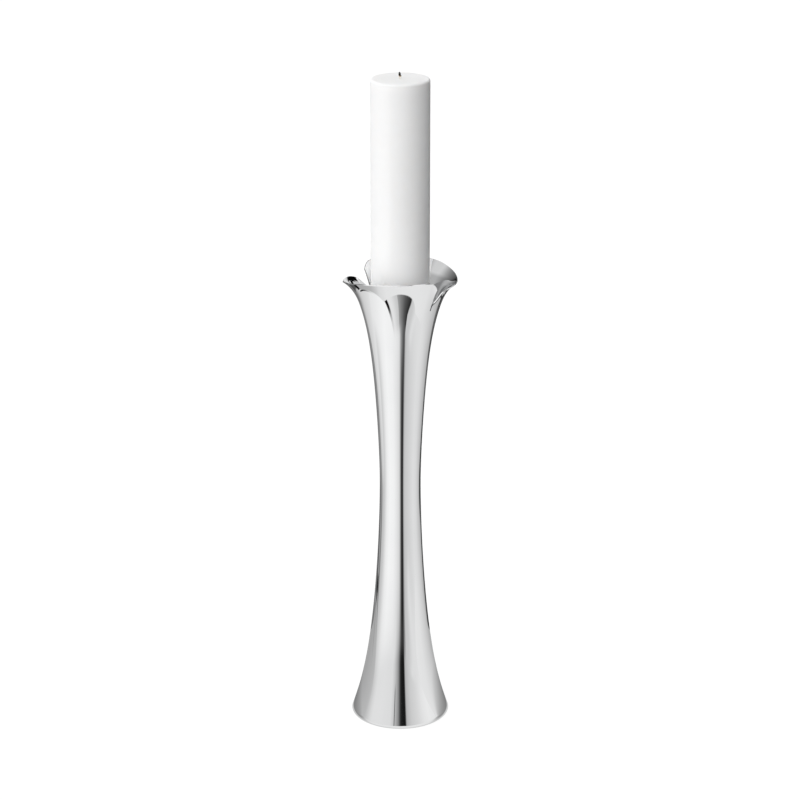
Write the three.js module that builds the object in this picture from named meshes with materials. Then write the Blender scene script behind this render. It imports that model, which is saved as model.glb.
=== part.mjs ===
// Pillar candle holder: a polished trumpet body whose mouth is cut into two sweeping petals,
// clamped by a central tie rod to a seat, a ballast weight and a base plate, with a lift-off candle.
// Millimetres, +Z up, the table at Z = 0, the body's axis on the Z axis.
import * as THREE from "three";

// Trumpet body
const WAIST_R = 21.5; // narrowest outer radius
const WAIST_Z = 266; // height of the waist
const FOOT_FLARE = { span: 250, soft: 18.0, softPower: 1.75, hard: 8.0, hardPower: 5.6 };
const MOUTH_FLARE = { span: 200, soft: 13.85, softPower: 1.6, hard: 8.0, hardPower: 6.3 };
const WALL = 1.2; // sheet thickness
const FOOT_TOP = 5.3; // where the trumpet wall meets the rolled foot
const SHELL_BOTTOM = 1.0; // the rolled foot stands this far above the table, on the felt

// Mouth: two equal petals parted by two slits
const CROTCH_Z = 463; // bottom of each slit
const SLIT_ANGLE = 46; // degrees round from -Y towards +X
const SLIT_HALF = 0.7; // degrees either side of the slit's middle
const CURL_REACH = 17; // how far up a petal keeps the trumpet's slope before it curls
const CURL_SHARE = 0.8;
// One petal's rim from its swept, low end to its upright, rounded end:
// degrees from the slit, radius, height
const PETAL_RIM = [
  [0, 44.9, 468.8], [8, 46.5, 474.0], [16, 49.4, 480.4], [20, 52.9, 482.8], [26, 55.9, 484.2],
  [35, 57.7, 484.9], [46, 58.8, 485.6], [58, 59.2, 488.0], [72, 59.2, 490.3], [90, 58.1, 494.2],
  [134, 56.2, 497.0], [162, 54.4, 496.3], [172, 54.0, 494.4], [177, 53.4, 490.6], [180, 52.3, 485.6],
];

// Seat, spike and clamping hardware
const SEAT_TOP = 445.1;
const SEAT_THICK = 3.0;
const SEAT_R = 35.4;
const SEAT_EDGE = 0.7; // the seat's edge slopes out by this much, as the wall does
const GAP = 0.3; // clearance between pieces that bear on each other
const ROD_R = 4.0;
const ROD_HOLE_R = 4.3;
const NUT_FLATS = 13.0;
const NUT_HEIGHT = 6.5;
const COUPLER_HEIGHT = 25.0;
const WASHER_R = 8.5;
const WASHER_THICK = 1.4;
const SPIKE_HEIGHT = 20;
const SPIKE_R = 5.6;

// Foot stack
const FELT_R = 48.4;
const FELT_THICK = 2.0;
const PLATE_R = 48.9;
const PLATE_THICK = 1.5;
const DISH_R = 16; // raised middle of the base plate, which clears the nut
const DISH_RISE = 8.2;
const BALLAST_R = 44.3;
const BALLAST_TOP = 60;

// Candle
const CANDLE_R = 30;
const CANDLE_TOP = 695.3;
const CANDLE_EDGE = 2.4; // rounding of the top edge
const WICK_R = 1.05;
const WICK_HOLE_R = 1.4;
const WICK_PROUD = 6.6;
const WICK_BOTTOM = 474;

// Mesh fineness
const PETAL_COLUMNS = 24;
const COLUMN_BUNCHING = 0.4; // 0 even, towards 1 crowds columns to the petal's ends
const WALL_ROWS = 15;
const PETAL_ROWS = 6;
const ROUND_SEGMENTS = 48;
const SMALL_SEGMENTS = 24;

const rad = (degrees) => (degrees * Math.PI) / 180;

// ---- trumpet and petal geometry -------------------------------------------------------------

function trumpetRadius(z) {
  const flare = z < WAIST_Z ? FOOT_FLARE : MOUTH_FLARE;
  const s = Math.abs(z - WAIST_Z) / flare.span;
  return WAIST_R + flare.soft * s ** flare.softPower + flare.hard * s ** flare.hardPower;
}

function trumpetSlope(z) {
  return (trumpetRadius(z + 0.05) - trumpetRadius(z - 0.05)) / 0.1;
}

// Slopes for a smooth curve through the rim stations that never overshoots between them.
function stationSlopes(stations, k) {
  const last = stations.length - 1;
  const rise = (i) => (stations[i + 1][k] - stations[i][k]) / (stations[i + 1][0] - stations[i][0]);
  return stations.map((station, i) => {
    if (i === 0) return rise(0);
    if (i === last) return rise(last - 1);
    const before = rise(i - 1);
    const after = rise(i);
    if (before * after <= 0) return 0;
    const left = station[0] - stations[i - 1][0];
    const right = stations[i + 1][0] - station[0];
    const w1 = 2 * right + left;
    const w2 = right + 2 * left;
    return (w1 + w2) / (w1 / before + w2 / after);
  });
}

const RIM_SLOPES = [null, stationSlopes(PETAL_RIM, 1), stationSlopes(PETAL_RIM, 2)];

function rimValue(angle, k) {
  let i = 0;
  while (i < PETAL_RIM.length - 2 && angle > PETAL_RIM[i + 1][0]) i += 1;
  const a = PETAL_RIM[i];
  const b = PETAL_RIM[i + 1];
  const span = b[0] - a[0];
  const t = (angle - a[0]) / span;
  const t2 = t * t;
  const t3 = t2 * t;
  return (
    (2 * t3 - 3 * t2 + 1) * a[k] + (t3 - 2 * t2 + t) * span * RIM_SLOPES[k][i] +
    (3 * t2 - 2 * t3) * b[k] + (t3 - t2) * span * RIM_SLOPES[k][i + 1]
  );
}

// A petal's outer face along one meridian: t = 0 at the crotch height, 1 at the rim.
function petalPoint(angle, t) {
  const rimR = rimValue(angle, 1);
  const rimZ = rimValue(angle, 2);
  const reach = Math.min(CURL_REACH, CURL_SHARE * (rimZ - CROTCH_Z));
  const r0 = trumpetRadius(CROTCH_Z);
  const r1 = r0 + trumpetSlope(CROTCH_Z) * reach;
  const z1 = CROTCH_Z + reach;
  const u = 1 - t;
  return {
    r: u * u * r0 + 2 * u * t * r1 + t * t * rimR,
    z: u * u * CROTCH_Z + 2 * u * t * z1 + t * t * rimZ,
    dr: 2 * u * (r1 - r0) + 2 * t * (rimR - r1),
    dz: 2 * u * (z1 - CROTCH_Z) + 2 * t * (rimZ - z1),
  };
}

function wallPoint(z) {
  return { r: trumpetRadius(z), z, dr: trumpetSlope(z), dz: 1 };
}

// A point moved inwards through the sheet, square to its meridian.
function sink(point, depth) {
  const length = Math.hypot(point.dr, point.dz);
  return [point.r - (depth * point.dz) / length, point.z + (depth * point.dr) / length];
}

function rimCrown(angle) {
  const point = petalPoint(angle, 1);
  const length = Math.hypot(point.dr, point.dz);
  const [r, z] = sink(point, WALL / 2);
  const lift = 0.35 * WALL;
  return [r + (lift * point.dr) / length, z + (lift * point.dz) / length];
}

// Heights of the wall's rows, closer together where the trumpet flares.
function wallHeights() {
  const heights = [];
  for (let i = 0; i <= WALL_ROWS; i += 1) {
    const s = i / WALL_ROWS;
    const eased = s - (0.55 * Math.sin(2 * Math.PI * s)) / (2 * Math.PI);
    heights.push(FOOT_TOP + (CROTCH_Z - FOOT_TOP) * eased);
  }
  return heights;
}

// Every row of the closed sheet section as angle -> [r, z], starting inside the foot,
// going down round the rolled foot, up the outer face, over the rim and down the inner face.
function shellRows() {
  const ring = (r, z) => () => [r, z];
  const heights = wallHeights();
  const outerFoot = sink(wallPoint(FOOT_TOP), 0)[0];
  const rows = [
    ring(45.0, FOOT_TOP), ring(45.0, FOOT_TOP - WALL), ring(49.5, FOOT_TOP - WALL),
    ring(49.5, 2.4), ring(49.9, 1.4), ring(50.7, SHELL_BOTTOM), ring(51.5, 1.15),
    ring(52.1, 1.8), ring(52.2, 2.7), ring(outerFoot, FOOT_TOP),
  ];
  const kinds = rows.map(() => "ring");
  heights.slice(1, -1).forEach((z) => {
    rows.push(ring(...sink(wallPoint(z), 0)));
    kinds.push("ring");
  });
  for (let i = 0; i <= PETAL_ROWS; i += 1) {
    rows.push((angle) => sink(petalPoint(angle, i / PETAL_ROWS), 0));
    kinds.push(i === 0 ? "crotch" : "petal");
  }
  rows.push(rimCrown);
  kinds.push("petal");
  for (let i = PETAL_ROWS; i >= 0; i -= 1) {
    rows.push((angle) => sink(petalPoint(angle, i / PETAL_ROWS), WALL));
    kinds.push(i === 0 ? "crotch" : "petal");
  }
  heights.slice(1, -1).reverse().forEach((z) => {
    rows.push(ring(...sink(wallPoint(z), WALL)));
    kinds.push("ring");
  });
  rows.push(ring(49.6, FOOT_TOP));
  kinds.push("ring");
  return { rows, kinds };
}

function petalAngles() {
  const angles = [];
  for (let j = 0; j <= PETAL_COLUMNS; j += 1) {
    const s = j / PETAL_COLUMNS;
    const eased = s - (COLUMN_BUNCHING * Math.sin(2 * Math.PI * s)) / (2 * Math.PI);
    angles.push(SLIT_HALF + (180 - 2 * SLIT_HALF) * eased);
  }
  return angles;
}

function shellGeometry() {
  const { rows, kinds } = shellRows();
  const angles = petalAngles();
  const perPetal = angles.length;
  const columns = 2 * perPetal;
  const positions = [];
  for (const row of rows) {
    for (let c = 0; c < columns; c += 1) {
      const angle = angles[c % perPetal];
      const turn = rad(SLIT_ANGLE + angle + (c >= perPetal ? 180 : 0));
      const [r, z] = row(angle);
      positions.push(r * Math.sin(turn), -r * Math.cos(turn), z);
    }
  }
  const at = (row, column) => (row % rows.length) * columns + (column % columns);
  const index = [];
  const quad = (a, b, c, d) => index.push(a, b, c, a, c, d);
  const crotches = kinds.map((kind, i) => (kind === "crotch" ? i : -1)).filter((i) => i >= 0);
  const [outerCrotch, innerCrotch] = crotches;
  for (let i = 0; i < rows.length; i += 1) {
    const open = i >= outerCrotch && i < innerCrotch; // rows above the slits' bottoms
    for (let c = 0; c < columns; c += 1) {
      const isSlit = (c + 1) % perPetal === 0;
      if (isSlit && open) continue;
      quad(at(i, c), at(i, c + 1), at(i + 1, c + 1), at(i + 1, c));
    }
  }
  closeSlits(at, quad, index, perPetal, outerCrotch, innerCrotch);
  const geometry = new THREE.BufferGeometry();
  geometry.setAttribute("position", new THREE.Float32BufferAttribute(positions, 3));
  geometry.setIndex(index);
  geometry.computeVertexNormals();
  return geometry;
}

// The slit's bottom and the two petal edges that face each other across it.
function closeSlits(at, quad, index, perPetal, outerCrotch, innerCrotch) {
  const crown = (outerCrotch + innerCrotch) / 2;
  for (const end of [perPetal - 1, 2 * perPetal - 1]) {
    const start = end + 1;
    quad(at(outerCrotch, end), at(outerCrotch, start), at(innerCrotch, start), at(innerCrotch, end));
    for (let k = 0; k < crown - outerCrotch - 1; k += 1) {
      const low = outerCrotch + k;
      const inner = innerCrotch - k;
      quad(at(low, end), at(inner, end), at(inner - 1, end), at(low + 1, end));
      quad(at(low, start), at(low + 1, start), at(inner - 1, start), at(inner, start));
    }
    index.push(at(crown - 1, end), at(crown + 1, end), at(crown, end));
    index.push(at(crown - 1, start), at(crown, start), at(crown + 1, start));
  }
}

// ---- helpers ----------------------------------------------------------------------------------

function piece(name, geometry, color, roughness, metalness) {
  const material = new THREE.MeshStandardMaterial({ color, roughness, metalness });
  const mesh = new THREE.Mesh(geometry, material);
  mesh.name = name;
  return mesh;
}

// A solid of revolution about Z from [radius, height] corners.
function turned(corners, segments) {
  const points = corners.map(([r, z]) => new THREE.Vector2(r, z));
  const geometry = new THREE.LatheGeometry(points, segments);
  geometry.rotateX(Math.PI / 2);
  return geometry;
}

const closed = (corners) => [...corners, corners[0]];

function ringDisc(innerR, outerR, bottom, thickness, segments) {
  const top = bottom + thickness;
  return turned(closed([[innerR, bottom], [outerR, bottom], [outerR, top], [innerR, top]]), segments);
}

// A hexagonal nut with a plain round bore, its flats facing +Y and -Y.
function hexNut(flats, boreR, bottom, height) {
  const shape = new THREE.Shape();
  const corner = flats / Math.sqrt(3);
  for (let i = 0; i < 6; i += 1) {
    const angle = rad(60 * i);
    const point = [corner * Math.cos(angle), corner * Math.sin(angle)];
    if (i === 0) shape.moveTo(...point);
    else shape.lineTo(...point);
  }
  shape.closePath();
  const hole = new THREE.Path();
  hole.absarc(0, 0, boreR, 0, 2 * Math.PI, true);
  shape.holes.push(hole);
  const geometry = new THREE.ExtrudeGeometry(shape, {
    depth: height, bevelEnabled: false, curveSegments: SMALL_SEGMENTS / 2,
  });
  geometry.translate(0, 0, bottom);
  return geometry;
}

// ---- sub-parts --------------------------------------------------------------------------------

function bodyShell() {
  return piece("body_shell", shellGeometry(), 0xdfe1e3, 0.08, 1);
}

function seatPlate() {
  const bottom = SEAT_TOP - SEAT_THICK;
  const corners = closed([
    [ROD_HOLE_R, bottom], [SEAT_R - SEAT_EDGE, bottom], [SEAT_R, SEAT_TOP - 0.4],
    [SEAT_R - 0.4, SEAT_TOP], [ROD_HOLE_R, SEAT_TOP],
  ]);
  return piece("seat_plate", turned(corners, ROUND_SEGMENTS), 0xc9cbcd, 0.3, 1);
}

// A cone that holds the candle, with a shoulder on the seat and a shank down through it.
function candleSpike() {
  const shoulder = SEAT_TOP + GAP;
  const shankEnd = SEAT_TOP - SEAT_THICK - 14;
  const corners = [
    [0, shankEnd], [ROD_R - 0.5, shankEnd], [ROD_R, shankEnd + 0.5], [ROD_R, shoulder],
    [SPIKE_R, shoulder], [SPIKE_R, shoulder + 1.2], [0.9, shoulder + SPIKE_HEIGHT - 0.8],
    [0, shoulder + SPIKE_HEIGHT],
  ];
  return piece("candle_spike", turned(corners, SMALL_SEGMENTS), 0xbfc1c4, 0.3, 1);
}

function seatHardware() {
  const washerBottom = SEAT_TOP - SEAT_THICK - GAP - WASHER_THICK;
  const couplerBottom = washerBottom - GAP - COUPLER_HEIGHT;
  return [
    piece("spike_washer",
      ringDisc(ROD_HOLE_R, WASHER_R, washerBottom, WASHER_THICK, SMALL_SEGMENTS), 0xb4b6b8, 0.35, 1),
    piece("rod_coupler",
      hexNut(NUT_FLATS, ROD_HOLE_R, couplerBottom, COUPLER_HEIGHT), 0xb4b6b8, 0.35, 1),
  ];
}

function tieRod() {
  const bottom = 1.4;
  const top = SEAT_TOP - SEAT_THICK - 14 - 0.6;
  const corners = [
    [0, bottom], [ROD_R - 0.5, bottom], [ROD_R, bottom + 0.5], [ROD_R, top - 0.5],
    [ROD_R - 0.5, top], [0, top],
  ];
  return piece("tie_rod", turned(corners, SMALL_SEGMENTS), 0xaeb0b2, 0.4, 1);
}

function ballastWeight() {
  const bottom = FELT_THICK + GAP + PLATE_THICK + GAP;
  const dishTop = bottom + DISH_RISE + 0.6;
  const corners = closed([
    [ROD_HOLE_R + 0.4, dishTop], [DISH_R + 3.2, dishTop], [DISH_R + 3.9, bottom],
    [BALLAST_R, bottom], [BALLAST_R, 15], [34.4, 56], [32, BALLAST_TOP],
    [ROD_HOLE_R + 0.4, BALLAST_TOP],
  ]);
  return piece("ballast_weight", turned(corners, ROUND_SEGMENTS), 0x3a3b3d, 0.8, 0.6);
}

// The foot's closing plate, its middle pressed up to house the nut and washer.
function basePlate() {
  const low = FELT_THICK + GAP;
  const high = low + DISH_RISE;
  const corners = closed([
    [ROD_HOLE_R, high], [DISH_R - 1.4, high], [DISH_R + 1.2, low], [PLATE_R, low],
    [PLATE_R, low + PLATE_THICK], [DISH_R + 2.4, low + PLATE_THICK],
    [DISH_R, high + PLATE_THICK], [ROD_HOLE_R, high + PLATE_THICK],
  ]);
  return piece("base_plate", turned(corners, ROUND_SEGMENTS), 0xa9abad, 0.4, 1);
}

function footHardware() {
  const washerBottom = FELT_THICK + GAP + DISH_RISE - GAP - WASHER_THICK;
  const nutBottom = washerBottom - GAP - NUT_HEIGHT;
  return [
    piece("foot_washer",
      ringDisc(ROD_HOLE_R, WASHER_R, washerBottom, WASHER_THICK, SMALL_SEGMENTS), 0xb4b6b8, 0.35, 1),
    piece("foot_nut", hexNut(NUT_FLATS, ROD_HOLE_R, nutBottom, NUT_HEIGHT), 0xb4b6b8, 0.35, 1),
  ];
}

function feltPad() {
  return piece("felt_pad", ringDisc(DISH_R - 0.5, FELT_R, 0, FELT_THICK, ROUND_SEGMENTS), 0x2a2a2c, 1, 0);
}

// The candle stands on the seat; its underside has a cone that fits over the spike,
// and the wick's hole runs from that cone to the top.
function candleWax() {
  const bottom = SEAT_TOP + GAP;
  const coneTop = bottom + SPIKE_HEIGHT + 2.2;
  const corners = [
    [SPIKE_R + 1.4, bottom], [CANDLE_R - 0.8, bottom], [CANDLE_R, bottom + 0.8],
    [CANDLE_R, CANDLE_TOP - CANDLE_EDGE],
  ];
  for (const degrees of [30, 60, 90]) {
    const r = CANDLE_R - CANDLE_EDGE + CANDLE_EDGE * Math.cos(rad(degrees));
    corners.push([r, CANDLE_TOP - CANDLE_EDGE + CANDLE_EDGE * Math.sin(rad(degrees))]);
  }
  corners.push(
    [WICK_HOLE_R, CANDLE_TOP], [WICK_HOLE_R, coneTop + 0.6], [2.2, coneTop - 1.4],
    [SPIKE_R + 1.4, bottom + 3.2],
  );
  return piece("candle_wax", turned(closed(corners), ROUND_SEGMENTS), 0xf4f2ec, 0.55, 0);
}

function candleWick() {
  const top = CANDLE_TOP + WICK_PROUD;
  const corners = [
    [0, WICK_BOTTOM], [WICK_R, WICK_BOTTOM], [WICK_R, top - 0.7], [WICK_R * 0.7, top - 0.15], [0, top],
  ];
  return piece("candle_wick", turned(corners, 12), 0x2b2018, 0.95, 0);
}

const group = new THREE.Group();
group.name = "pillar_candle_holder";
group.add(
  bodyShell(), seatPlate(), candleSpike(), ...seatHardware(), tieRod(), ballastWeight(),
  basePlate(), ...footHardware(), feltPad(), candleWax(), candleWick(),
);

export default group;
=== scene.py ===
"""Looks for the pillar candle holder: polished trumpet shell, wax candle, wick and hardware, in a
plain studio. Metres, in the CAD frame: +Z up, the table at Z = 0, the holder's axis on the Z axis."""

import math

import bpy
import numpy as np
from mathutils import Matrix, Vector


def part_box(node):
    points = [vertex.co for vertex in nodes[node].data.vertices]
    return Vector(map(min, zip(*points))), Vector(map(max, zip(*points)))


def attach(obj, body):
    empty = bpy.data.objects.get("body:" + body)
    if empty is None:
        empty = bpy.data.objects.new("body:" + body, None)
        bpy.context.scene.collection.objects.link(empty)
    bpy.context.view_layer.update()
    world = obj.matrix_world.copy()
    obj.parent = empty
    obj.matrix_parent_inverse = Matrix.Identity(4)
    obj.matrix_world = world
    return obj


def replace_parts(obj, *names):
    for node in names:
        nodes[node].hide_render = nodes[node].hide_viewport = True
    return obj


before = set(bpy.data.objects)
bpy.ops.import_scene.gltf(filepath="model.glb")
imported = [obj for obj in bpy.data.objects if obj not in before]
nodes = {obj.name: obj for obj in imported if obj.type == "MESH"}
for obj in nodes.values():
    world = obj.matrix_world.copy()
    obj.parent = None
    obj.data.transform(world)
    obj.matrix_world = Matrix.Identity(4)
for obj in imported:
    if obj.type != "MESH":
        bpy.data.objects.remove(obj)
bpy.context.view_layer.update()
MM = 0.001

# ---- driving dimensions, in millimetres -------------------------------------------------------

WAIST_R = 21.5
WAIST_Z = 266.0
# reach from the waist, then the amount and the power of a wide term and of a sharp one
FOOT_FLARE = (250.0, 18.0, 1.75, 8.0, 5.6)
MOUTH_FLARE = (200.0, 13.85, 1.6, 8.0, 6.3)
WALL = 1.2
FOOT_TOP = 5.3
FLANGE_R = 45.0
FLANGE_TURN_R = 49.5
FLANGE_ROOT_R = 49.6
HEM_CENTRE = (50.85, 1.9)
HEM_R = 1.35
CROTCH_Z = 463.0
SLIT_ANGLE = 46.0
SLIT_HALF = 0.7
CURL_REACH = 17.0
CURL_SHARE = 0.8
# one petal's rim: degrees from the slit, radius, height
PETAL_RIM = np.array([
    (0, 44.9, 468.8), (8, 46.5, 474.0), (16, 49.4, 480.4), (20, 52.9, 482.8), (26, 55.9, 484.2),
    (35, 57.7, 484.9), (46, 58.8, 485.6), (58, 59.2, 488.0), (72, 59.2, 490.3), (90, 58.1, 494.2),
    (134, 56.2, 497.0), (162, 54.4, 496.3), (172, 54.0, 494.4), (177, 53.4, 490.6), (180, 52.3, 485.6),
])

# ---- mesh helpers -----------------------------------------------------------------------------


def add_mesh(name, points, faces, smooth=True):
    mesh = bpy.data.meshes.new(name)
    mesh.from_pydata([tuple(p) for p in points], [], faces)
    mesh.validate()
    mesh.update()
    if smooth:
        mesh.shade_smooth()
    thing = bpy.data.objects.new(name, mesh)
    bpy.context.scene.collection.objects.link(thing)
    return thing


def lathe(name, profile, segments=128, closed=False):
    """A solid of revolution about Z from (radius, height) in metres; open profiles end on the axis."""
    points, faces, rings = [], [], []
    for r, z in profile:
        if r < 1e-9:
            rings.append([len(points)])
            points.append((0.0, 0.0, z))
            continue
        rings.append(list(range(len(points), len(points) + segments)))
        for i in range(segments):
            turn = 2 * math.pi * i / segments
            points.append((r * math.cos(turn), r * math.sin(turn), z))
    pairs = list(zip(rings, rings[1:]))
    if closed:
        pairs.append((rings[-1], rings[0]))
    for low, high in pairs:
        for i in range(segments):
            j = (i + 1) % segments
            if len(low) == 1:
                faces.append((low[0], high[j], high[i]))
            elif len(high) == 1:
                faces.append((low[i], low[j], high[0]))
            else:
                faces.append((low[i], low[j], high[j], high[i]))
    return add_mesh(name, points, faces)


def arc(centre_r, centre_z, radius, start, stop, steps):
    """Points on a circular arc of a lathe profile, from start to stop degrees."""
    turns = np.radians(np.linspace(start, stop, steps))
    return [(centre_r + radius * math.cos(t), centre_z + radius * math.sin(t)) for t in turns]


def bevel(thing, width, segments=3, angle=40.0):
    modifier = thing.modifiers.new("soft_edges", "BEVEL")
    modifier.width = width
    modifier.segments = segments
    modifier.limit_method = "ANGLE"
    modifier.angle_limit = math.radians(angle)
    modifier.harden_normals = True
    return thing


# ---- trumpet shell ----------------------------------------------------------------------------


def trumpet_radius(z):
    """Outer radius of the trumpet at height z: the waist, widened by one of the two flares."""
    z = np.asarray(z, float)
    low = np.clip((WAIST_Z - z) / FOOT_FLARE[0], 0, None)
    high = np.clip((z - WAIST_Z) / MOUTH_FLARE[0], 0, None)
    return (
        WAIST_R
        + FOOT_FLARE[1] * low ** FOOT_FLARE[2] + FOOT_FLARE[3] * low ** FOOT_FLARE[4]
        + MOUTH_FLARE[1] * high ** MOUTH_FLARE[2] + MOUTH_FLARE[3] * high ** MOUTH_FLARE[4]
    )


def trumpet_slope(z):
    return (trumpet_radius(z + 0.05) - trumpet_radius(z - 0.05)) / 0.1


def rim_slopes(k):
    """Slopes for a smooth curve through the rim stations that never overshoots between them."""
    gaps = np.diff(PETAL_RIM[:, 0])
    rises = np.diff(PETAL_RIM[:, k]) / gaps
    slopes = np.zeros(len(PETAL_RIM))
    slopes[0], slopes[-1] = rises[0], rises[-1]
    for i in range(1, len(slopes) - 1):
        if rises[i - 1] * rises[i] > 0:
            w1 = 2 * gaps[i] + gaps[i - 1]
            w2 = gaps[i] + 2 * gaps[i - 1]
            slopes[i] = (w1 + w2) / (w1 / rises[i - 1] + w2 / rises[i])
    return slopes


RIM_SLOPES = {1: rim_slopes(1), 2: rim_slopes(2)}


def rim_value(angle, k):
    i = np.clip(np.searchsorted(PETAL_RIM[:, 0], angle) - 1, 0, len(PETAL_RIM) - 2)
    span = PETAL_RIM[i + 1, 0] - PETAL_RIM[i, 0]
    t = (angle - PETAL_RIM[i, 0]) / span
    m = RIM_SLOPES[k]
    return (
        (2 * t**3 - 3 * t**2 + 1) * PETAL_RIM[i, k] + (t**3 - 2 * t**2 + t) * span * m[i]
        + (3 * t**2 - 2 * t**3) * PETAL_RIM[i + 1, k] + (t**3 - t**2) * span * m[i + 1]
    )


def petal_row(angle, t, depth):
    """Radius and height of a petal at its columns' angles: t from the crotch to the rim."""
    rim_r, rim_z = rim_value(angle, 1), rim_value(angle, 2)
    reach = np.minimum(CURL_REACH, CURL_SHARE * (rim_z - CROTCH_Z))
    r0 = float(trumpet_radius(CROTCH_Z))
    r1 = r0 + float(trumpet_slope(CROTCH_Z)) * reach
    z1 = CROTCH_Z + reach
    u = 1 - t
    r = u * u * r0 + 2 * u * t * r1 + t * t * rim_r
    z = u * u * CROTCH_Z + 2 * u * t * z1 + t * t * rim_z
    dr = 2 * u * (r1 - r0) + 2 * t * (rim_r - r1)
    dz = 2 * u * (z1 - CROTCH_Z) + 2 * t * (rim_z - z1)
    length = np.hypot(dr, dz)
    return r - depth * dz / length, z + depth * dr / length


def wall_ring(z, depth):
    """Radius and height of the point this deep in the wall, square to its outer face at height z."""
    slope = float(trumpet_slope(z))
    length = math.hypot(slope, 1)
    return float(trumpet_radius(z)) - depth / length, z + depth * slope / length


def wall_heights(rows):
    """Heights from the foot to the crotch, closer together at both ends, where the wall curves most."""
    s = np.linspace(0, 1, rows + 1)
    crowding = 0.55
    eased = s - crowding * np.sin(2 * np.pi * s) / (2 * np.pi)
    return (FOOT_TOP + (CROTCH_Z - FOOT_TOP) * eased)[1:-1]


def foot_profile():
    """The rolled foot, from inside the flange round the hem to the outer face."""
    outer = wall_ring(FOOT_TOP, 0)[0]
    under = FOOT_TOP - WALL
    hem = arc(*HEM_CENTRE, HEM_R, 180, 360, 13)
    return [(FLANGE_R, FOOT_TOP), (FLANGE_R, under), (FLANGE_TURN_R, under), *hem, (outer, FOOT_TOP)]


def ring_row(r, z):
    return lambda angle: (np.full_like(angle, r), np.full_like(angle, z))


def shell_rows(wall_rows=96, petal_rows=26):
    """The rows of points up the outside and down the inside, and whether each is above the crotch."""
    outside = [ring_row(r, z) for r, z in foot_profile()]
    outside += [ring_row(*wall_ring(z, 0)) for z in wall_heights(wall_rows)]
    steps = np.linspace(0, 1, petal_rows + 1)
    petals = [lambda angle, t=t: petal_row(angle, t, 0.0) for t in steps]
    petals += [lambda angle, t=t: petal_row(angle, t, WALL) for t in steps[::-1]]
    inside = [ring_row(*wall_ring(z, WALL)) for z in wall_heights(wall_rows // 2)[::-1]]
    inside.append(ring_row(FLANGE_ROOT_R, FOOT_TOP))
    above_crotch = [False] * len(outside) + [True] * len(petals) + [False] * len(inside)
    return outside + petals + inside, above_crotch


def polished_shell(columns=96):
    s = np.linspace(0, 1, columns + 1)
    # columns crowd together towards the slits, where the petals turn most
    crowding = 0.4
    angles = SLIT_HALF + (180 - 2 * SLIT_HALF) * (s - crowding * np.sin(2 * np.pi * s) / (2 * np.pi))
    rows, above = shell_rows()
    per_petal = len(angles)
    total = 2 * per_petal
    turns = np.radians(np.concatenate([SLIT_ANGLE + angles, SLIT_ANGLE + angles + 180]))
    points = []
    for row in rows:
        r, z = row(angles)
        r, z = np.tile(r, 2), np.tile(z, 2)
        points.extend(np.stack([r * np.sin(turns), -r * np.cos(turns), z], -1) * MM)
    first, last = above.index(True), len(above) - 1 - above[::-1].index(True)

    def at(row, column):
        return (row % len(rows)) * total + column % total

    faces = []
    for i in range(len(rows)):
        opened = first <= i < last
        for c in range(total):
            if opened and (c + 1) % per_petal == 0:
                continue
            faces.append((at(i, c), at(i, c + 1), at(i + 1, c + 1), at(i + 1, c)))
    petal_rows = (last - first - 1) // 2
    for end in (per_petal - 1, total - 1):
        start = end + 1
        faces.append((at(first, end), at(first, start), at(last, start), at(last, end)))
        for k in range(petal_rows):
            low, inner = first + k, last - k
            faces.append((at(low, end), at(inner, end), at(inner - 1, end), at(low + 1, end)))
            faces.append((at(low, start), at(low + 1, start), at(inner - 1, start), at(inner, start)))
    return bevel(add_mesh("shell_polished", points, faces), 0.32 * MM, 3)


# ---- candle -----------------------------------------------------------------------------------


def wax_body():
    low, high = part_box("candle_wax")
    radius = (high.x - low.x) / 2
    foot_edge, top_edge, straight = 0.8 * MM, 2.4 * MM, 8 * MM
    socket, bore, dip = 7.0 * MM, 1.3 * MM, 0.25 * MM
    profile = [(socket, low.z), *arc(radius - foot_edge, low.z + foot_edge, foot_edge, -90, 0, 5)]
    profile += [(radius, z) for z in np.linspace(low.z + straight, high.z - straight, 60)]
    profile += arc(radius - top_edge, high.z - top_edge, top_edge, 0, 90, 12)
    # the top dips a little on the way in to the wick
    profile += [(radius * share, high.z - dip * (1 - share) ** 2) for share in np.linspace(0.87, 0.12, 14)]
    profile += [(2.6 * MM, high.z - 0.35 * MM), (1.7 * MM, high.z - 0.7 * MM), (bore, high.z - 1.6 * MM)]
    # the socket for the spike, from its tip down
    profile += [(bore, low.z + 23 * MM), (2.2 * MM, low.z + 21 * MM), (socket, low.z + 3.2 * MM)]
    wax = lathe("candle_wax_body", profile, 160, closed=True)
    wobble_wax(wax, radius, high.z)
    return wax


def wobble_wax(wax, radius, top):
    """Cast wax is never quite round or flat: a few hundredths of a millimetre everywhere."""
    for vertex in wax.data.vertices:
        x, y, z = vertex.co
        r = math.hypot(x, y)
        if r > 0.9 * radius:
            turn = math.atan2(y, x)
            swell = 0.05 * math.sin(3 * turn + 14 * z) + 0.03 * math.sin(7 * turn - 31 * z)
            vertex.co.x *= 1 + swell * MM / radius
            vertex.co.y *= 1 + swell * MM / radius
        elif z > top - 1.2 * MM and r > 3 * MM:
            vertex.co.z -= 0.06 * MM * (1 + math.sin(260 * x + 1) * math.cos(310 * y))


def wick_width(s):
    """Relative width at share s of the wick: thin in the wax, fullest where it is charred, pointed."""
    in_wax = min(1.0, max(0.0, (0.82 - s) / 0.1))
    at_tip = max(0.0, (s - 0.8) / 0.2)
    return 1 - 0.3 * in_wax - 0.5 * at_tip ** 1.8


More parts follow.
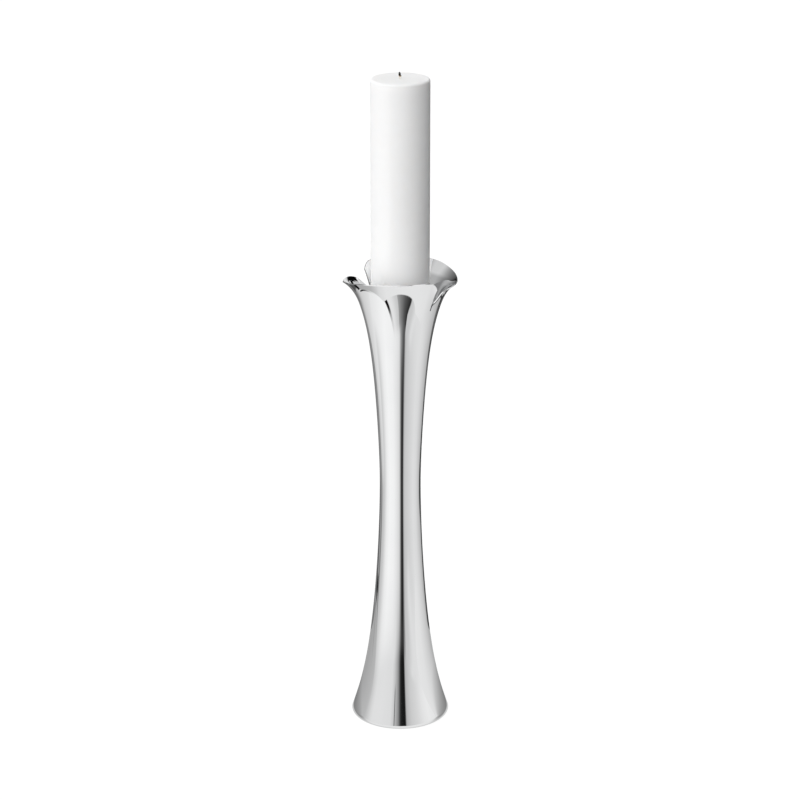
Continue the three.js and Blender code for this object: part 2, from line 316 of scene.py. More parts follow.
def wick_strand(index, strands, bottom, top, lean):
    """One helical strand of the braid as a ring-by-ring tube."""
    steps, sides, turns = 90, 10, 2.1
    points, faces = [], []
    for k in range(steps + 1):
        s = k / steps
        z = bottom + (top - bottom) * s
        turn = 2 * math.pi * (index / strands + turns * s)
        orbit = 0.62 * MM * wick_width(s)
        lean_x, lean_y = lean(s)
        centre = Vector((orbit * math.cos(turn) + lean_x, orbit * math.sin(turn) + lean_y, z))
        thick = 0.8 * MM * wick_width(s) * (1 + 0.12 * math.sin(23 * s + 2 * index))
        for side in range(sides):
            a = 2 * math.pi * side / sides
            points.append(centre + Vector((thick * math.cos(a), thick * math.sin(a), 0)))
    for k in range(steps):
        for side in range(sides):
            a, b = k * sides + side, k * sides + (side + 1) % sides
            faces.append((a, b, b + sides, a + sides))
    faces.append(tuple(range(sides))[::-1])
    faces.append(tuple(range(steps * sides, (steps + 1) * sides)))
    return points, faces


def braided_wick():
    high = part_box("candle_wick")[1]
    wax_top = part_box("candle_wax")[1].z
    bottom = wax_top - 12 * MM
    bend_from = 0.6

    def lean(s):
        bend = (max(0.0, s - bend_from) / (1 - bend_from)) ** 1.5
        return -0.9 * MM * bend, -0.25 * MM * s

    points, faces = [], []
    cut_short = (0.0, 0.7, 0.35)
    for index, short in enumerate(cut_short):
        strand_points, strand_faces = wick_strand(index, len(cut_short), bottom, high.z - short * MM, lean)
        base = len(points)
        points += strand_points
        faces += [tuple(base + i for i in face) for face in strand_faces]
    return add_mesh("wick_braid", points, faces)


# ---- hardware that shows when the candle is lifted ----------------------------------------------


def turned_seat():
    low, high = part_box("seat_plate")
    radius = (high.x - low.x) / 2
    hole, chamfer, edge = 4.3 * MM, 0.9 * MM, 0.35 * MM
    profile = [(hole, low.z), (radius - chamfer, low.z), (radius - 0.25 * MM, high.z - chamfer)]
    profile += arc(radius - edge - 0.02 * MM, high.z - edge, edge, 0, 90, 6)
    # three pairs of turned grooves grip the candle's foot
    half, depth = 0.25 * MM, 0.22 * MM
    for pair in (30.2, 20.0, 10.0):
        for ring in ((pair + 0.4) * MM, (pair - 0.4) * MM):
            profile += [(ring + half, high.z), (ring, high.z - depth), (ring - half, high.z)]
    profile += [(hole + 0.3 * MM, high.z), (hole, high.z - 0.3 * MM)]
    return lathe("seat_turned", profile, 160, closed=True)


def turned_spike():
    low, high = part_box("candle_spike")
    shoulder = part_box("seat_plate")[1].z + 0.3 * MM
    radius = (high.x - low.x) / 2
    shank, shank_bevel, tip = 4 * MM, 0.5 * MM, 0.8 * MM
    collar_bevel, collar_top = 0.2 * MM, shoulder + 1.2 * MM
    cone = high.z - tip - collar_top
    profile = [(0, low.z), (shank - shank_bevel, low.z), (shank, low.z + shank_bevel), (shank, shoulder)]
    profile += [(radius - collar_bevel, shoulder), (radius, shoulder + collar_bevel)]
    profile += [(radius, collar_top - collar_bevel), (radius - 0.15 * MM, collar_top)]
    for s in np.linspace(0.1, 1, 10):
        profile.append((radius * (1 - s) + tip * s, collar_top + s * cone))
    profile += [(0.55 * MM, high.z - 0.35 * MM), (0.25 * MM, high.z - 0.08 * MM), (0, high.z)]
    return lathe("spike_turned", profile, 64)


# ---- materials --------------------------------------------------------------------------------


class Shader:
    """A Principled material and short ways to add nodes to it."""

    def __init__(self, name):
        self.material = bpy.data.materials.new(name)
        self.material.use_nodes = True
        self.tree = self.material.node_tree
        self.bsdf = self.tree.nodes["Principled BSDF"]
        coordinates = self.tree.nodes.new("ShaderNodeTexCoord")
        self.place = coordinates.outputs["Object"]

    def set(self, **values):
        for key, value in values.items():
            self.bsdf.inputs[key.replace("_", " ")].default_value = value

    def node(self, kind, **inputs):
        made = self.tree.nodes.new(kind)
        for key, value in inputs.items():
            self.feed(made.inputs[key.replace("_", " ")], value)
        return made

    def feed(self, socket, value):
        if isinstance(value, bpy.types.NodeSocket):
            self.tree.links.new(value, socket)
        else:
            socket.default_value = value

    def scaled(self, x, y, z):
        mapping = self.node("ShaderNodeMapping", Vector=self.place)
        mapping.inputs["Scale"].default_value = (x, y, z)
        return mapping.outputs["Vector"]

    def noise(self, size, detail=3.0, stretch=(1, 1, 1), distortion=0.0):
        """Noise whose features are about size metres across."""
        vector = self.scaled(*stretch)
        made = self.node("ShaderNodeTexNoise", Vector=vector, Scale=1.0 / size, Detail=detail)
        made.inputs["Distortion"].default_value = distortion
        return made.outputs["Fac"]

    def axes(self):
        parts = self.node("ShaderNodeSeparateXYZ", Vector=self.place)
        return parts.outputs["X"], parts.outputs["Y"], parts.outputs["Z"]

    def dot(self, vector, direction):
        """Dot product of a vector with another, which is a socket or three numbers."""
        made = self.node("ShaderNodeVectorMath", Vector=vector)
        made.operation = "DOT_PRODUCT"
        self.feed(made.inputs[1], direction)
        return made.outputs["Value"]

    def math(self, operation, a, b=0.0):
        made = self.tree.nodes.new("ShaderNodeMath")
        made.operation = operation
        self.feed(made.inputs[0], a)
        self.feed(made.inputs[1], b)
        return made.outputs[0]

    def spread(self, value, low, high, out_low, out_high):
        made = self.node("ShaderNodeMapRange", Value=value, From_Min=low, From_Max=high)
        made.inputs["To Min"].default_value = out_low
        made.inputs["To Max"].default_value = out_high
        return made.outputs["Result"]

    def ramp(self, value, stops, smooth=False):
        made = self.node("ShaderNodeValToRGB", Fac=value)
        ramp = made.color_ramp
        ramp.interpolation = "EASE" if smooth else "LINEAR"
        while len(ramp.elements) < len(stops):
            ramp.elements.new(0.5)
        for element, (position, color) in zip(ramp.elements, stops):
            element.position = position
            element.color = (*color, 1.0)
        return made.outputs["Color"]

    def bump(self, height, strength, distance):
        made = self.node("ShaderNodeBump", Height=height, Strength=strength, Distance=distance)
        self.tree.links.new(made.outputs["Normal"], self.bsdf.inputs["Normal"])

    def mix(self, share, a, b, blend="MIX"):
        made = self.tree.nodes.new("ShaderNodeMix")
        made.data_type = "RGBA"
        made.blend_type = blend
        sockets = [socket for socket in made.inputs if socket.enabled]
        self.feed(sockets[0], share)
        self.feed(sockets[1], (*a, 1) if isinstance(a, tuple) else a)
        self.feed(sockets[2], (*b, 1) if isinstance(b, tuple) else b)
        return next(socket for socket in made.outputs if socket.enabled)

    def soft_step(self, value, start, stop):
        made = self.node("ShaderNodeMapRange", Value=value, From_Min=start, From_Max=stop)
        made.interpolation_type = "SMOOTHSTEP"
        return made.outputs["Result"]

    def inside_low(self, full, none):
        """1 on the +X petal's faces that look at the axis, below height full, and 0 above none."""
        flat = self.node("ShaderNodeVectorMath", Vector=self.place)
        flat.operation = "MULTIPLY"
        flat.inputs[1].default_value = (1, 1, 0)
        normal = self.tree.nodes.new("ShaderNodeTexCoord").outputs["Normal"]
        inward = self.soft_step(self.dot(flat.outputs[0], normal), 0.0, -0.004)
        x, _, z = self.axes()
        low = self.soft_step(z, none, full)
        return self.math("MULTIPLY", self.math("MULTIPLY", inward, low), self.soft_step(x, 0.0, 0.02))

    def cut_faces(self):
        """1 on the cut faces inside the slits, where the painted shade goes."""
        turn = math.radians(SLIT_ANGLE)
        across = self.dot(self.place, (math.cos(turn), math.sin(turn), 0))
        near = self.soft_step(self.math("ABSOLUTE", across), 0.78 * MM, 0.56 * MM)
        above_crotch = self.soft_step(self.axes()[2], (CROTCH_Z - 0.5) * MM, (CROTCH_Z - 0.2) * MM)
        return self.math("MULTIPLY", near, above_crotch)

    def paint(self, color):
        self.tree.links.new(color, self.bsdf.inputs["Base Color"])

    def rough(self, value):
        self.tree.links.new(value, self.bsdf.inputs["Roughness"])


def grey(value):
    return (value, value, value)


def polished_metal():
    """Mirror polish with the faint haze, wiping marks and hairlines that handling leaves, painted shade
    low inside one petal, and painted shade on the cut faces of the slits."""
    painted_petal_shade, painted_slit_shade = (0.62, 0.625, 0.63), (0.10, 0.10, 0.105)
    s = Shader("polished_shell")
    s.set(Metallic=1.0)
    tone = s.noise(0.05, 2.0)
    bright = s.ramp(tone, [(0.3, (0.915, 0.92, 0.925)), (0.7, (0.94, 0.943, 0.946))])
    # painted shade: the +X petal is darker low on its inner face, so what it mirrors there reads grey
    bright = s.mix(s.inside_low(full=0.480, none=0.4845), bright, painted_petal_shade)
    # painted shade on the cut faces inside the slits
    s.paint(s.mix(s.cut_faces(), bright, painted_slit_shade))
    haze = s.spread(s.noise(0.022, 4.0, distortion=0.4), 0.5, 0.8, 0.0, 0.02)
    hairline = s.spread(s.noise(0.0007, 2.0, stretch=(1, 1, 0.03)), 0.66, 0.76, 0.0, 0.035)
    around = s.spread(s.noise(0.0005, 2.0, stretch=(0.05, 0.05, 1)), 0.68, 0.78, 0.0, 0.03)
    marks = s.math("ADD", s.math("ADD", hairline, around), haze)
    s.rough(s.math("ADD", marks, 0.015))
    swell = s.noise(0.035, 1.0, stretch=(1, 1, 0.35))
    s.bump(swell, 0.08, 0.03 * MM)
    return s.material


def wax(top_z):
    """Cast wax that light soaks into, with painted shade greying the top and its rounded edge."""
    s = Shader("wax")
    s.set(Subsurface_Weight=0.5, Subsurface_Scale=0.005, IOR=1.44, Specular_IOR_Level=0.15)
    s.bsdf.inputs["Subsurface Radius"].default_value = (1.0, 0.96, 0.92)
    body = s.ramp(s.noise(0.012, 4.0), [(0.3, (0.947, 0.947, 0.945)), (0.7, (0.962, 0.962, 0.961))])
    # painted shade: the top and its rounded edge are greyed against the light they catch
    top = s.soft_step(s.axes()[2], top_z - 4.5 * MM, top_z - 1.0 * MM)
    s.paint(s.mix(top, body, (0.885, 0.885, 0.884)))
    s.rough(s.spread(s.noise(0.004, 3.0), 0.3, 0.7, 0.42, 0.58))
    grain = s.math("ADD", s.noise(0.0011, 4.0), s.math("MULTIPLY", s.noise(0.009, 2.0), 1.5))
    s.bump(grain, 0.35, 0.0001)
    return s.material


def charred_cotton(base_z, top_z):
    """Cotton that goes from waxed to scorched to black, with a ragged edge, from base_z to top_z."""
    s = Shader("wick")
    s.set(Roughness=0.95)
    climb = s.spread(s.axes()[2], base_z, top_z, 0.0, 1.0)
    ragged = s.math("ADD", climb, s.math("MULTIPLY", s.noise(0.0008, 3.0), 0.14))
    s.paint(s.ramp(ragged, [
        (0.40, (0.90, 0.88, 0.83)), (0.47, (0.62, 0.46, 0.28)), (0.55, (0.12, 0.07, 0.04)),
        (0.63, (0.014, 0.010, 0.009)),
    ]))
    s.bump(s.noise(0.00025, 3.0, stretch=(1, 1, 0.3)), 0.8, 0.0001)
    return s.material


def turned_steel(name, tone, rough, line=0.0006):
    """Steel with fine tool lines round the axis."""
    s = Shader(name)
    s.set(Metallic=1.0)
    x, y, z = s.axes()
    radius = s.math("SQRT", s.math("ADD", s.math("MULTIPLY", x, x), s.math("MULTIPLY", y, y)))
    combine = s.node("ShaderNodeCombineXYZ", X=s.math("ADD", radius, z))
    lines = s.node("ShaderNodeTexNoise", Vector=combine.outputs[0], Scale=1.0 / line, Detail=3.0)
    s.rough(s.spread(lines.outputs["Fac"], 0.3, 0.7, rough - 0.06, rough + 0.08))
    stain = s.noise(0.012, 3.0)
    s.paint(s.ramp(stain, [(0.3, grey(tone * 0.93)), (0.7, grey(tone))]))
    s.bump(lines.outputs["Fac"], 0.35, 0.00003)
    return s.material


def zinc_plate():
    s = Shader("fastener_steel")
    s.set(Metallic=1.0)
    spangle = s.node("ShaderNodeTexVoronoi", Vector=s.place, Scale=700.0)
    s.paint(s.ramp(spangle.outputs["Distance"], [(0.0, (0.70, 0.71, 0.73)), (0.8, (0.60, 0.61, 0.62))]))
    s.rough(s.spread(s.noise(0.0015, 3.0), 0.3, 0.7, 0.24, 0.4))
    s.bump(s.noise(0.0004, 2.0), 0.3, 0.00003)
    return s.material


def cast_iron():
    s = Shader("ballast_iron")
    s.set(Metallic=0.85)
    s.paint(s.ramp(s.noise(0.004, 5.0), [(0.3, (0.075, 0.072, 0.07)), (0.7, (0.15, 0.145, 0.14))]))
    s.rough(s.spread(s.noise(0.001, 3.0), 0.3, 0.7, 0.6, 0.85))
    s.bump(s.noise(0.0009, 5.0), 0.8, 0.0003)
    return s.material


def pressed_felt():
    s = Shader("felt")
    s.set(Roughness=1.0, Sheen_Weight=0.35, Sheen_Roughness=0.5)
    fibre = s.noise(0.0006, 5.0, stretch=(1, 0.35, 1), distortion=1.5)
    s.paint(s.ramp(fibre, [(0.3, (0.016, 0.016, 0.018)), (0.75, (0.06, 0.06, 0.065))]))
    s.bump(fibre, 0.9, 0.0003)
    return s.material


def dress(thing, material):
    thing.data.materials.clear()
    thing.data.materials.append(material)


# ---- studio -----------------------------------------------------------------------------------

DOME_RADIUS = 20.0
SHEET_RADIUS = 1.1
SHEET_HEIGHT = 0.3 * MM
# x of the pale sheet's curved left edge is the sum of these times 1, y and y squared
SHEET_LEFT = (-0.322, -0.25, 0.38)
SHEET_BACK = 0.205
# share of the light that the polished metal sends back
POLISH = 0.93

# The studio as the polished metal sees it, in layers that follow one another up the dome: each is a
# list of (degrees from -Y towards +X, display level of the reflection).
STEEPLY_DOWN = [
    (-180, 0.42), (-162, 0.42), (-153, 0.47), (-147, 0.58), (-140, 0.73), (-132, 0.80), (-120, 0.835),
    (-110, 0.865), (-105, 0.895), (-80, 0.93), (-60, 0.955), (-34, 0.94), (-16, 0.91), (-5, 0.87),
    (-1, 0.80), (1, 0.66), (6, 0.51), (10, 0.39), (14, 0.29), (17, 0.36), (20, 0.72), (26, 0.78),
    (40, 0.82), (60, 0.86), (85, 0.87), (112, 0.80), (130, 0.74), (145, 0.68), (150, 0.32), (180, 0.30),
]
DOWN = [
    (-180, 0.78), (-170, 0.70), (-160, 0.50), (-150, 0.42), (-142, 0.44), (-136, 0.56), (-131, 0.64),
    (-116, 0.72), (-108, 0.755), (-98, 0.79), (-88, 0.86), (-78, 0.92), (-60, 0.955), (-34, 0.94),
    (-18, 0.89), (-5, 0.83), (-1, 0.70), (1, 0.56), (4, 0.27), (8, 0.18), (11, 0.13), (14.5, 0.18),
    (17.5, 0.57), (21, 0.74), (28, 0.78), (75, 0.865), (95, 0.85), (125, 0.74), (139, 0.68),
    (145, 0.26), (169, 0.20), (177, 0.50),
]
LEVEL = [
    (-180, 0.45), (-163, 0.56), (-147, 0.62), (-131, 0.65), (-113, 0.675), (-98, 0.70), (-90, 0.745),
    (-83, 0.795), (-77, 0.84), (-70, 0.87), (-50, 0.875), (-24, 0.86), (-18, 0.80), (-13, 0.72),
    (-8, 0.62), (-4, 0.50), (-1.5, 0.32), (1, 0.16), (4, 0.115), (9, 0.08), (13, 0.11), (15.5, 0.69),
    (19, 0.73), (28, 0.79), (42, 0.83), (58, 0.885), (72, 0.91), (88, 0.89), (100, 0.79), (112, 0.70),
    (130, 0.60), (167, 0.42),
]
UP = [
    (-180, 0.02), (-166, 0.02), (-158, 0.10), (-152, 0.22), (-144, 0.36), (-131, 0.53), (-113, 0.69),
    (-95, 0.81), (-80, 0.80), (-60, 0.62), (-40, 0.62), (20, 0.62), (40, 0.85), (95, 0.80), (110, 0.77),
    (124, 0.74), (130, 0.62), (135, 0.06), (155, 0.02), (158.5, 0.80), (163, 0.90), (172, 0.93),
    (176, 0.9), (180, 0.5),
]


def shown(level):
    """Light that a polished surface shows at this display level, 0 to 1."""
    linear = ((level + 0.055) / 1.055) ** 2.4 if level > 0.04 else level / 12.92
    return grey(linear / POLISH)


class Glow(Shader):
    """An emitting stage material whose brightness is worked out from a place on the stage."""

    def __init__(self, name):
        super().__init__(name)
        self.tree.nodes.remove(self.bsdf)
        self.emission = self.tree.nodes.new("ShaderNodeEmission")
        output = self.tree.nodes["Material Output"]
        self.tree.links.new(self.emission.outputs[0], output.inputs["Surface"])
        self.x, self.y, self.z = self.axes()

    def away(self, y_shift=0.0):
        """Distance from the axis, or from a line this far behind it."""
        y = self.math("SUBTRACT", self.y, y_shift)
        squares = self.math("ADD", self.math("MULTIPLY", self.x, self.x), self.math("MULTIPLY", y, y))
        return self.math("SQRT", squares)

    def azimuth(self):
        """0.5 towards -Y, rising to 1 by way of +X and falling to 0 by way of -X."""
        turn = self.math("ARCTAN2", self.x, self.math("MULTIPLY", self.y, -1.0))
        return self.spread(turn, -math.pi, math.pi, 0.0, 1.0)

    def round_ramp(self, stops):
        """Brightness round the compass from (degrees from -Y towards +X, display level)."""
        return self.ramp(self.azimuth(), [((d + 180) / 360, shown(level)) for d, level in stops])

    def both(self, *masks):
        result = masks[0]
        for mask in masks[1:]:
            result = self.math("MULTIPLY", result, mask)
        return result

    def line(self, along, at_zero, slope, across):
        """How far across is beyond the line across = at_zero + slope * along."""
        beyond = self.math("SUBTRACT", across, at_zero)
        return self.math("SUBTRACT", beyond, self.math("MULTIPLY", along, slope))

    def band(self, value, low, high, soft):
        """1 from low to high, 0 outside, with edges as soft as soft on both sides of each."""
        rises = self.soft_step(value, low - soft, low + soft)
        return self.both(rises, self.soft_step(value, high + soft, high - soft))

    def shine(self, color):
        self.tree.links.new(color, self.emission.inputs["Color"])

    def let_through(self, solid):
        """Emit where solid is 1 and be clear where it is 0."""
        clear = self.tree.nodes.new("ShaderNodeBsdfTransparent")
        made = self.tree.nodes.new("ShaderNodeMixShader")
        self.tree.links.new(solid, made.inputs[0])
        self.tree.links.new(clear.outputs[0], made.inputs[1])
        self.tree.links.new(self.emission.outputs[0], made.inputs[2])
        self.tree.links.new(made.outputs[0], self.tree.nodes["Material Output"].inputs["Surface"])


def dome_material():
    """Soft boxes left and right of a dark slot to the camera, with flags behind at both sides and a
    bright ceiling."""
    g = Glow("light_dome")
    rise = g.math("ARCTAN2", g.z, g.away())

    def above(start, stop):
        return g.soft_step(rise, math.radians(start), math.radians(stop))

    def turned(start, stop):
        return g.soft_step(g.azimuth(), (start + 180) / 360, (stop + 180) / 360)

    back_left = turned(-95, -110)
    elsewhere = g.math("SUBTRACT", 1.0, back_left)
    past_steep = g.math("ADD", g.both(back_left, above(-25, -20.5)), g.both(elsewhere, above(-40, -24)))
    tone = g.mix(past_steep, g.round_ramp(STEEPLY_DOWN), g.round_ramp(DOWN))
    # a thin dark joint that falls away to the back left
    slope = 0.25
    joint = g.line(g.azimuth(), math.radians(-34.5), slope * math.radians(360), rise)
    joint = g.band(joint, math.radians(-1.0), math.radians(1.0), math.radians(0.8))
    joint = g.both(joint, turned(-150, -140), turned(-98, -106), above(-10, -13))
    tone = g.mix(joint, tone, shown(0.45))
    tone = g.mix(above(-18, -7), tone, g.round_ramp(LEVEL))
    # the flags stand lower behind than the rest of the upper layer
    up = g.round_ramp(UP)
    behind = g.soft_step(g.math("ABSOLUTE", g.math("SUBTRACT", g.azimuth(), 0.5)), 0.2, 0.25)
    tone = g.mix(g.both(behind, above(2, 6)), tone, up)
    tone = g.mix(above(16, 24), tone, up)
    tone = g.mix(above(44, 52), tone, shown(0.95))
    # two black cards at the back, and a seam to the left of the camera
    left_card = g.both(turned(-156, -160), above(-5, -1), above(24, 20))
    right_card = g.both(turned(103, 108), turned(157.5, 155), above(21.5, 24.5), above(50, 46))
    seam = g.both(g.band(g.azimuth(), 0.458, 0.462, 0.002), above(-4, 0), above(24, 20))
    for mask, level in ((left_card, 0.03), (right_card, 0.03), (seam, 0.2)):
        tone = g.mix(mask, tone, shown(level))
    g.shine(tone)
    return g.material


def camera_slot(g):
    """Where the slot to the camera is on the floor, and its tone: grey at its left edge, black at its
    right, and paler farther off."""
    left = -0.03
    right = g.math("ADD", g.math("MULTIPLY", g.soft_step(g.y, -0.34, -0.262), 0.07), 0.157)
    share = g.math("DIVIDE", g.math("SUBTRACT", g.x, left), g.math("SUBTRACT", right, left))

    def tones(*levels):
        return g.ramp(share, [(stop, shown(level)) for stop, level in zip((0.0, 0.25, 0.6, 1.0), levels)])

    far = g.soft_step(g.y, -0.36, -0.48)
    slot = g.both(g.soft_step(share, -0.02, 0.03), g.soft_step(share, 1.03, 0.97))
    return slot, g.mix(far, tones(0.62, 0.50, 0.33, 0.12), tones(0.68, 0.57, 0.42, 0.20))


def front_floor(g):
    """Tone of the floor in front of the sheet, and where the metal sees it rather than the dome."""
    tone = g.mix(g.soft_step(g.x, 0.22, 0.34), shown(0.78), shown(0.87))
    tone = g.mix(g.soft_step(g.x, -0.03, -0.16), tone, shown(0.885))
    slot, slot_tone = camera_slot(g)
    tone = g.mix(slot, tone, slot_tone)
    # the black wedge that starts at the sheet's front left corner
    centre = g.line(g.y, -0.2605, -0.18, g.x)
    wedge = g.soft_step(g.math("ABSOLUTE", centre), 0.027, 0.013)
    fades = [(0.1, 0.02), (0.4, 0.15), (0.6, 0.5), (0.72, 0.9), (0.8, 1.0), (1.0, 1.0)]
    depth = g.ramp(g.spread(g.y, -0.5, -0.2, 0.0, 1.0), [(stop, grey(level)) for stop, level in fades])
    tone = g.mix(g.both(wedge, depth), tone, shown(0.02))
    across = g.both(g.soft_step(centre, -0.024, -0.02), g.soft_step(g.x, 0.46, 0.30))
    return tone, g.both(across, g.soft_step(g.y, -0.52, -0.41), g.soft_step(g.y, -0.1, -0.16))


def pale_sheet(g, left_edge, back_edge):
    """Tone of the sheet that the holder stands on, shaded by the holder, and where the sheet lies."""
    around = g.round_ramp([
        (-180, 0.68), (-150, 0.64), (-128, 0.64), (-106, 0.675), (-88, 0.71), (-75, 0.78), (-63, 0.85),
        (-40, 0.89), (0, 0.89), (60, 0.89), (80, 0.88), (100, 0.83), (120, 0.77), (140, 0.68),
        (180, 0.66),
    ])
    outwards = [
        (0.12, 0.45), (0.22, 0.58), (0.3, 0.645), (0.375, 0.70), (0.45, 0.745), (0.575, 0.83), (0.7, 0.87),
        (0.875, 0.895), (1.0, 0.90),
    ]
    away = g.spread(g.away(0.03), 0.0, 0.4, 0.0, 1.0)
    shade = g.ramp(away, [(stop, shown(level)) for stop, level in outwards])
    shade = g.mix(g.soft_step(g.y, -0.02, -0.055), shade, shown(0.93))
    tone = g.mix(1.0, around, shade, "DARKEN")
    # its front edge bows back on both sides of the slot
    aside = g.math("SUBTRACT", g.x, 0.09)
    bow = g.math("MULTIPLY", g.math("MULTIPLY", aside, aside), 0.735)
    front_edge = g.math("SUBTRACT", g.math("ADD", g.y, 0.284), bow)
    lies = g.both(g.soft_step(left_edge, -0.001, 0.001), g.soft_step(front_edge, -0.002, 0.002),
                  g.soft_step(back_edge, -0.001, 0.001))
    # painted shade along a crease in the sheet, from part way back
    crease_shade = g.band(g.line(g.y, -0.2445, -0.24, g.x), -0.004, 0.004, 0.003)
    tone = g.mix(g.both(crease_shade, g.soft_step(g.y, 0.04, 0.16)), tone, shown(0.40))
    # painted contact shadow in a ring close round the foot, at one level: darker than the open sheet in
    # front, lighter than the painted shade at its sides
    tone = g.mix(g.soft_step(g.away(), 0.061, 0.055), tone, shown(0.80))
    return tone, lies


def dark_places(g, left_edge, back_edge):
    """Masks and display levels of the dark places beside and behind the sheet: painted shade in a recess,
    in the gap under the left edge and in its corner, and a dark far strip.
    """
    # painted shade in a recess at the back left
    recess_shade = g.both(g.soft_step(g.line(g.y, -0.302, -0.08, g.x), -0.012, 0.012),
                    g.soft_step(g.y, 0.24, 0.27), g.soft_step(g.y, 0.66, 0.58),
                    g.soft_step(g.x, -0.18, -0.24))
    far_strip = g.both(g.soft_step(g.line(g.y, 0.465, -0.16, g.x), -0.012, 0.012),
                       g.soft_step(g.x, 0.522, 0.498), g.soft_step(g.y, 0.36, 0.42),
                       g.soft_step(g.y, 0.9, 0.8))
    # painted shadow in the gap under the left edge, and in the corner that it runs into at the back
    gap = g.both(g.soft_step(left_edge, -0.016, -0.010), g.soft_step(left_edge, 0.001, -0.001),
                 g.soft_step(g.y, -0.12, 0.20), g.soft_step(g.y, 0.25, 0.245))
    corner = g.both(g.soft_step(left_edge, 0.006, 0.014), g.soft_step(back_edge, 0.001, -0.001),
                    g.soft_step(g.y, 0.285, 0.265), g.soft_step(g.x, -0.27, -0.29))
    return (recess_shade, 0.31), (far_strip, 0.24), (g.math("MAXIMUM", gap, corner), 0.03)


def sheet_material():
    """The floor within reach of the holder's own reflection, glowing with painted light and shade: a pale
    sheet over a dark gap, and in front of it the dark slot to the camera. Rays that miss both go on to the
    dome."""
    g = Glow("floor_sheet")
    at_zero, slope, curve = SHEET_LEFT
    bend = g.math("MULTIPLY", g.math("MULTIPLY", g.y, g.y), curve)
    left_edge = g.math("SUBTRACT", g.line(g.y, at_zero, slope, g.x), bend)
    back_edge = g.math("SUBTRACT", SHEET_BACK, g.y)
    tone, solid = front_floor(g)
    sheet_tone, lies = pale_sheet(g, left_edge, back_edge)
    tone = g.mix(lies, tone, sheet_tone)
    solid = g.math("MAXIMUM", solid, g.both(lies, g.soft_step(g.x, 0.56, 0.44)))
    for mask, level in dark_places(g, left_edge, back_edge):
        tone = g.mix(mask, tone, shown(level))
        solid = g.math("MAXIMUM", solid, mask)
    g.shine(tone)
    g.let_through(solid)
    return g.material


def only_in_reflections(thing):
    thing.visible_camera = False
    thing.visible_diffuse = False
    thing.visible_shadow = False
    thing.visible_transmission = False


def dome_mesh(rings=24, segments=48):
    points, faces = [], []
    for i in range(rings + 1):
        rise = math.pi * (i / rings - 0.5)
        reach, height = DOME_RADIUS * math.cos(rise), DOME_RADIUS * math.sin(rise)
        for j in range(segments):
            turn = 2 * math.pi * j / segments
            points.append((reach * math.cos(turn), reach * math.sin(turn), height))
    for i in range(rings):
        low, high = i * segments, (i + 1) * segments
        for j in range(segments):
            k = (j + 1) % segments
            faces.append((low + j, low + k, high + k, high + j))
    return add_mesh("light_dome", points, faces)


def reflected_studio():
    """What the polished metal sees: a light dome far off and a glowing floor sheet of painted light and
    shade close by.
    """
    dome = dome_mesh()
    dress(dome, dome_material())
    sides = 96
    turns = [2 * math.pi * i / sides for i in range(sides)]
    disc = [(SHEET_RADIUS * math.cos(t), SHEET_RADIUS * math.sin(t), SHEET_HEIGHT) for t in turns]
    sheet = add_mesh("floor_sheet", disc, [tuple(range(sides))], smooth=False)
    dress(sheet, sheet_material())
    only_in_reflections(dome)
    only_in_reflections(sheet)


def studio_floor():
    """A white floor that only the camera sees: the metal has its own, and the wax needs none."""
    half = 14.0
    corners = [(-half, -half, 0), (half, -half, 0), (half, half, 0), (-half, half, 0)]
    floor = add_mesh("studio_floor", corners, [(0, 1, 2, 3)], smooth=False)
    s = Shader("studio_floor")
    s.set(Base_Color=(0.15, 0.15, 0.15, 1), Roughness=1.0, Specular_IOR_Level=0.0)
    s.set(Emission_Color=(1, 1, 1, 1), Emission_Strength=0.9)
    dress(floor, s.material)
    floor.visible_glossy = False
    floor.visible_diffuse = False


def soft_sun(name, azimuth, rise, spread, strength):
    """Even light from a wide patch of the tent, centred azimuth degrees round from the front."""
    data = bpy.data.lights.new(name, "SUN")
    data.energy = strength
    data.angle = math.radians(spread)
    lamp = bpy.data.objects.new(name, data)
    turn, lift = math.radians(azimuth), math.radians(rise)
    toward = Vector((math.sin(turn) * math.cos(lift), -math.cos(turn) * math.cos(lift), math.sin(lift)))
    lamp.rotation_euler = toward.to_track_quat("Z", "Y").to_euler()
    lamp.visible_glossy = False
    bpy.context.scene.collection.objects.link(lamp)


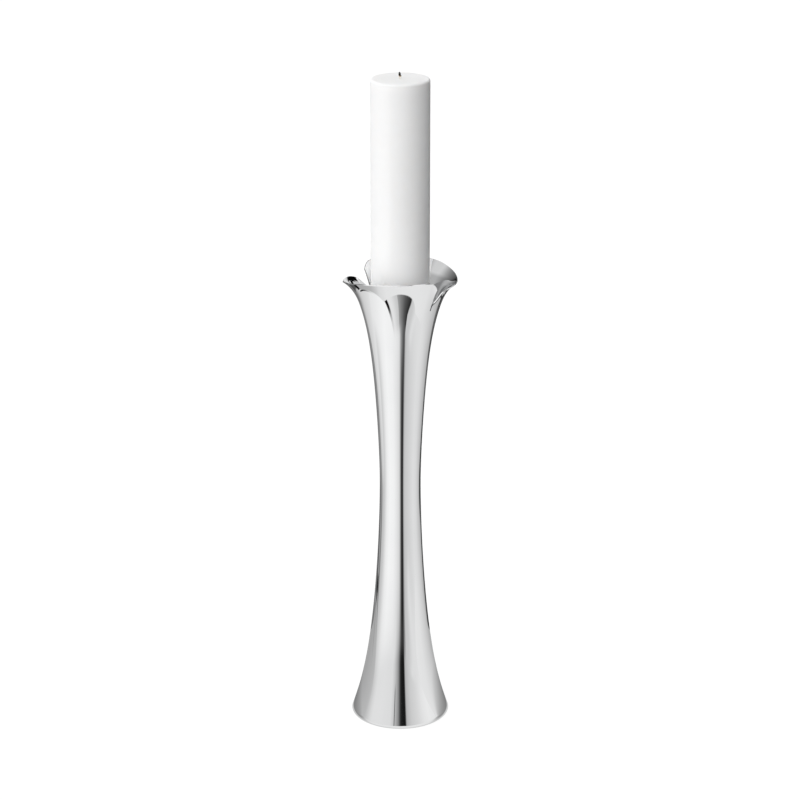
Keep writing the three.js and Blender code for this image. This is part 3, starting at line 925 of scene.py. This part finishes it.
def world_light(azimuth, rise, start, full, bright):
    """A half dome of soft light centred azimuth degrees round from the front, from nothing to bright as
    the cosine of the angle to its centre goes from start to full; the camera sees white."""
    world = bpy.data.worlds.new("studio_world")
    world.use_nodes = True
    tree = world.node_tree
    lights = tree.nodes["Background"]
    turn, lift = math.radians(azimuth), math.radians(rise)
    direction = tree.nodes.new("ShaderNodeTexCoord")
    facing = tree.nodes.new("ShaderNodeVectorMath")
    facing.operation = "DOT_PRODUCT"
    facing.inputs[1].default_value = (
        math.sin(turn) * math.cos(lift), -math.cos(turn) * math.cos(lift), math.sin(lift))
    tree.links.new(direction.outputs["Generated"], facing.inputs[0])
    level = tree.nodes.new("ShaderNodeMapRange")
    level.interpolation_type = "SMOOTHSTEP"
    for name, value in (("From Min", start), ("From Max", full), ("To Min", 0.0), ("To Max", bright)):
        level.inputs[name].default_value = value
    tree.links.new(facing.outputs["Value"], level.inputs["Value"])
    tree.links.new(level.outputs["Result"], lights.inputs["Strength"])
    lights.inputs["Color"].default_value = (1, 1, 1, 1)
    seen = tree.nodes.new("ShaderNodeBackground")
    seen.inputs["Color"].default_value = (1, 1, 1, 1)
    path = tree.nodes.new("ShaderNodeLightPath")
    chooser = tree.nodes.new("ShaderNodeMixShader")
    tree.links.new(path.outputs["Is Camera Ray"], chooser.inputs[0])
    tree.links.new(lights.outputs[0], chooser.inputs[1])
    tree.links.new(seen.outputs[0], chooser.inputs[2])
    tree.links.new(chooser.outputs[0], tree.nodes["World Output"].inputs["Surface"])
    bpy.context.scene.world = world


def camera():
    """In front, looking down at the middle of the holder, as a product picture is taken."""
    distance, aside, height, pitch, lens = 2.346, -0.0002, 1.2119, 20.04, 108.18
    data = bpy.data.cameras.new("camera")
    data.lens = lens
    data.sensor_width = 36.0
    thing = bpy.data.objects.new("camera", data)
    thing.location = (aside, -distance, height)
    thing.rotation_euler = (math.radians(90 - pitch), 0, 0)
    bpy.context.scene.collection.objects.link(thing)
    bpy.context.scene.camera = thing


def studio():
    studio_floor()
    reflected_studio()
    soft_sun("fill_back_left", azimuth=-140, rise=15, spread=60, strength=1.55)
    soft_sun("fill_back", azimuth=165, rise=25, spread=50, strength=1.2)
    world_light(azimuth=-32, rise=24, start=-0.064, full=0.625, bright=1.33)
    camera()
    bpy.context.scene.view_settings.view_transform = "Standard"


# ---- assembly ---------------------------------------------------------------------------------


def build():
    shell = polished_shell()
    dress(shell, polished_metal())
    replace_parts(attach(shell, "holder"), "body_shell")

    candle = wax_body()
    dress(candle, wax(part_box("candle_wax")[1].z))
    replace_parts(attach(candle, "candle"), "candle_wax")

    wick = braided_wick()
    dress(wick, charred_cotton(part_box("candle_wax")[1].z - 1.0 * MM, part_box("candle_wick")[1].z))
    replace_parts(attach(wick, "candle"), "candle_wick")

    seat = turned_seat()
    dress(seat, turned_steel("seat_steel", 0.68, 0.3))
    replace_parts(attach(seat, "holder"), "seat_plate")

    spike = turned_spike()
    dress(spike, turned_steel("spike_steel", 0.66, 0.26))
    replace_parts(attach(spike, "holder"), "candle_spike")

    zinc = zinc_plate()
    for name in ("spike_washer", "rod_coupler", "foot_washer", "foot_nut"):
        dress(nodes[name], zinc)
    dress(nodes["tie_rod"], turned_steel("rod_steel", 0.58, 0.35))
    dress(nodes["base_plate"], turned_steel("plate_steel", 0.55, 0.4, line=0.0012))
    dress(nodes["ballast_weight"], cast_iron())
    dress(nodes["felt_pad"], pressed_felt())


build()
studio()
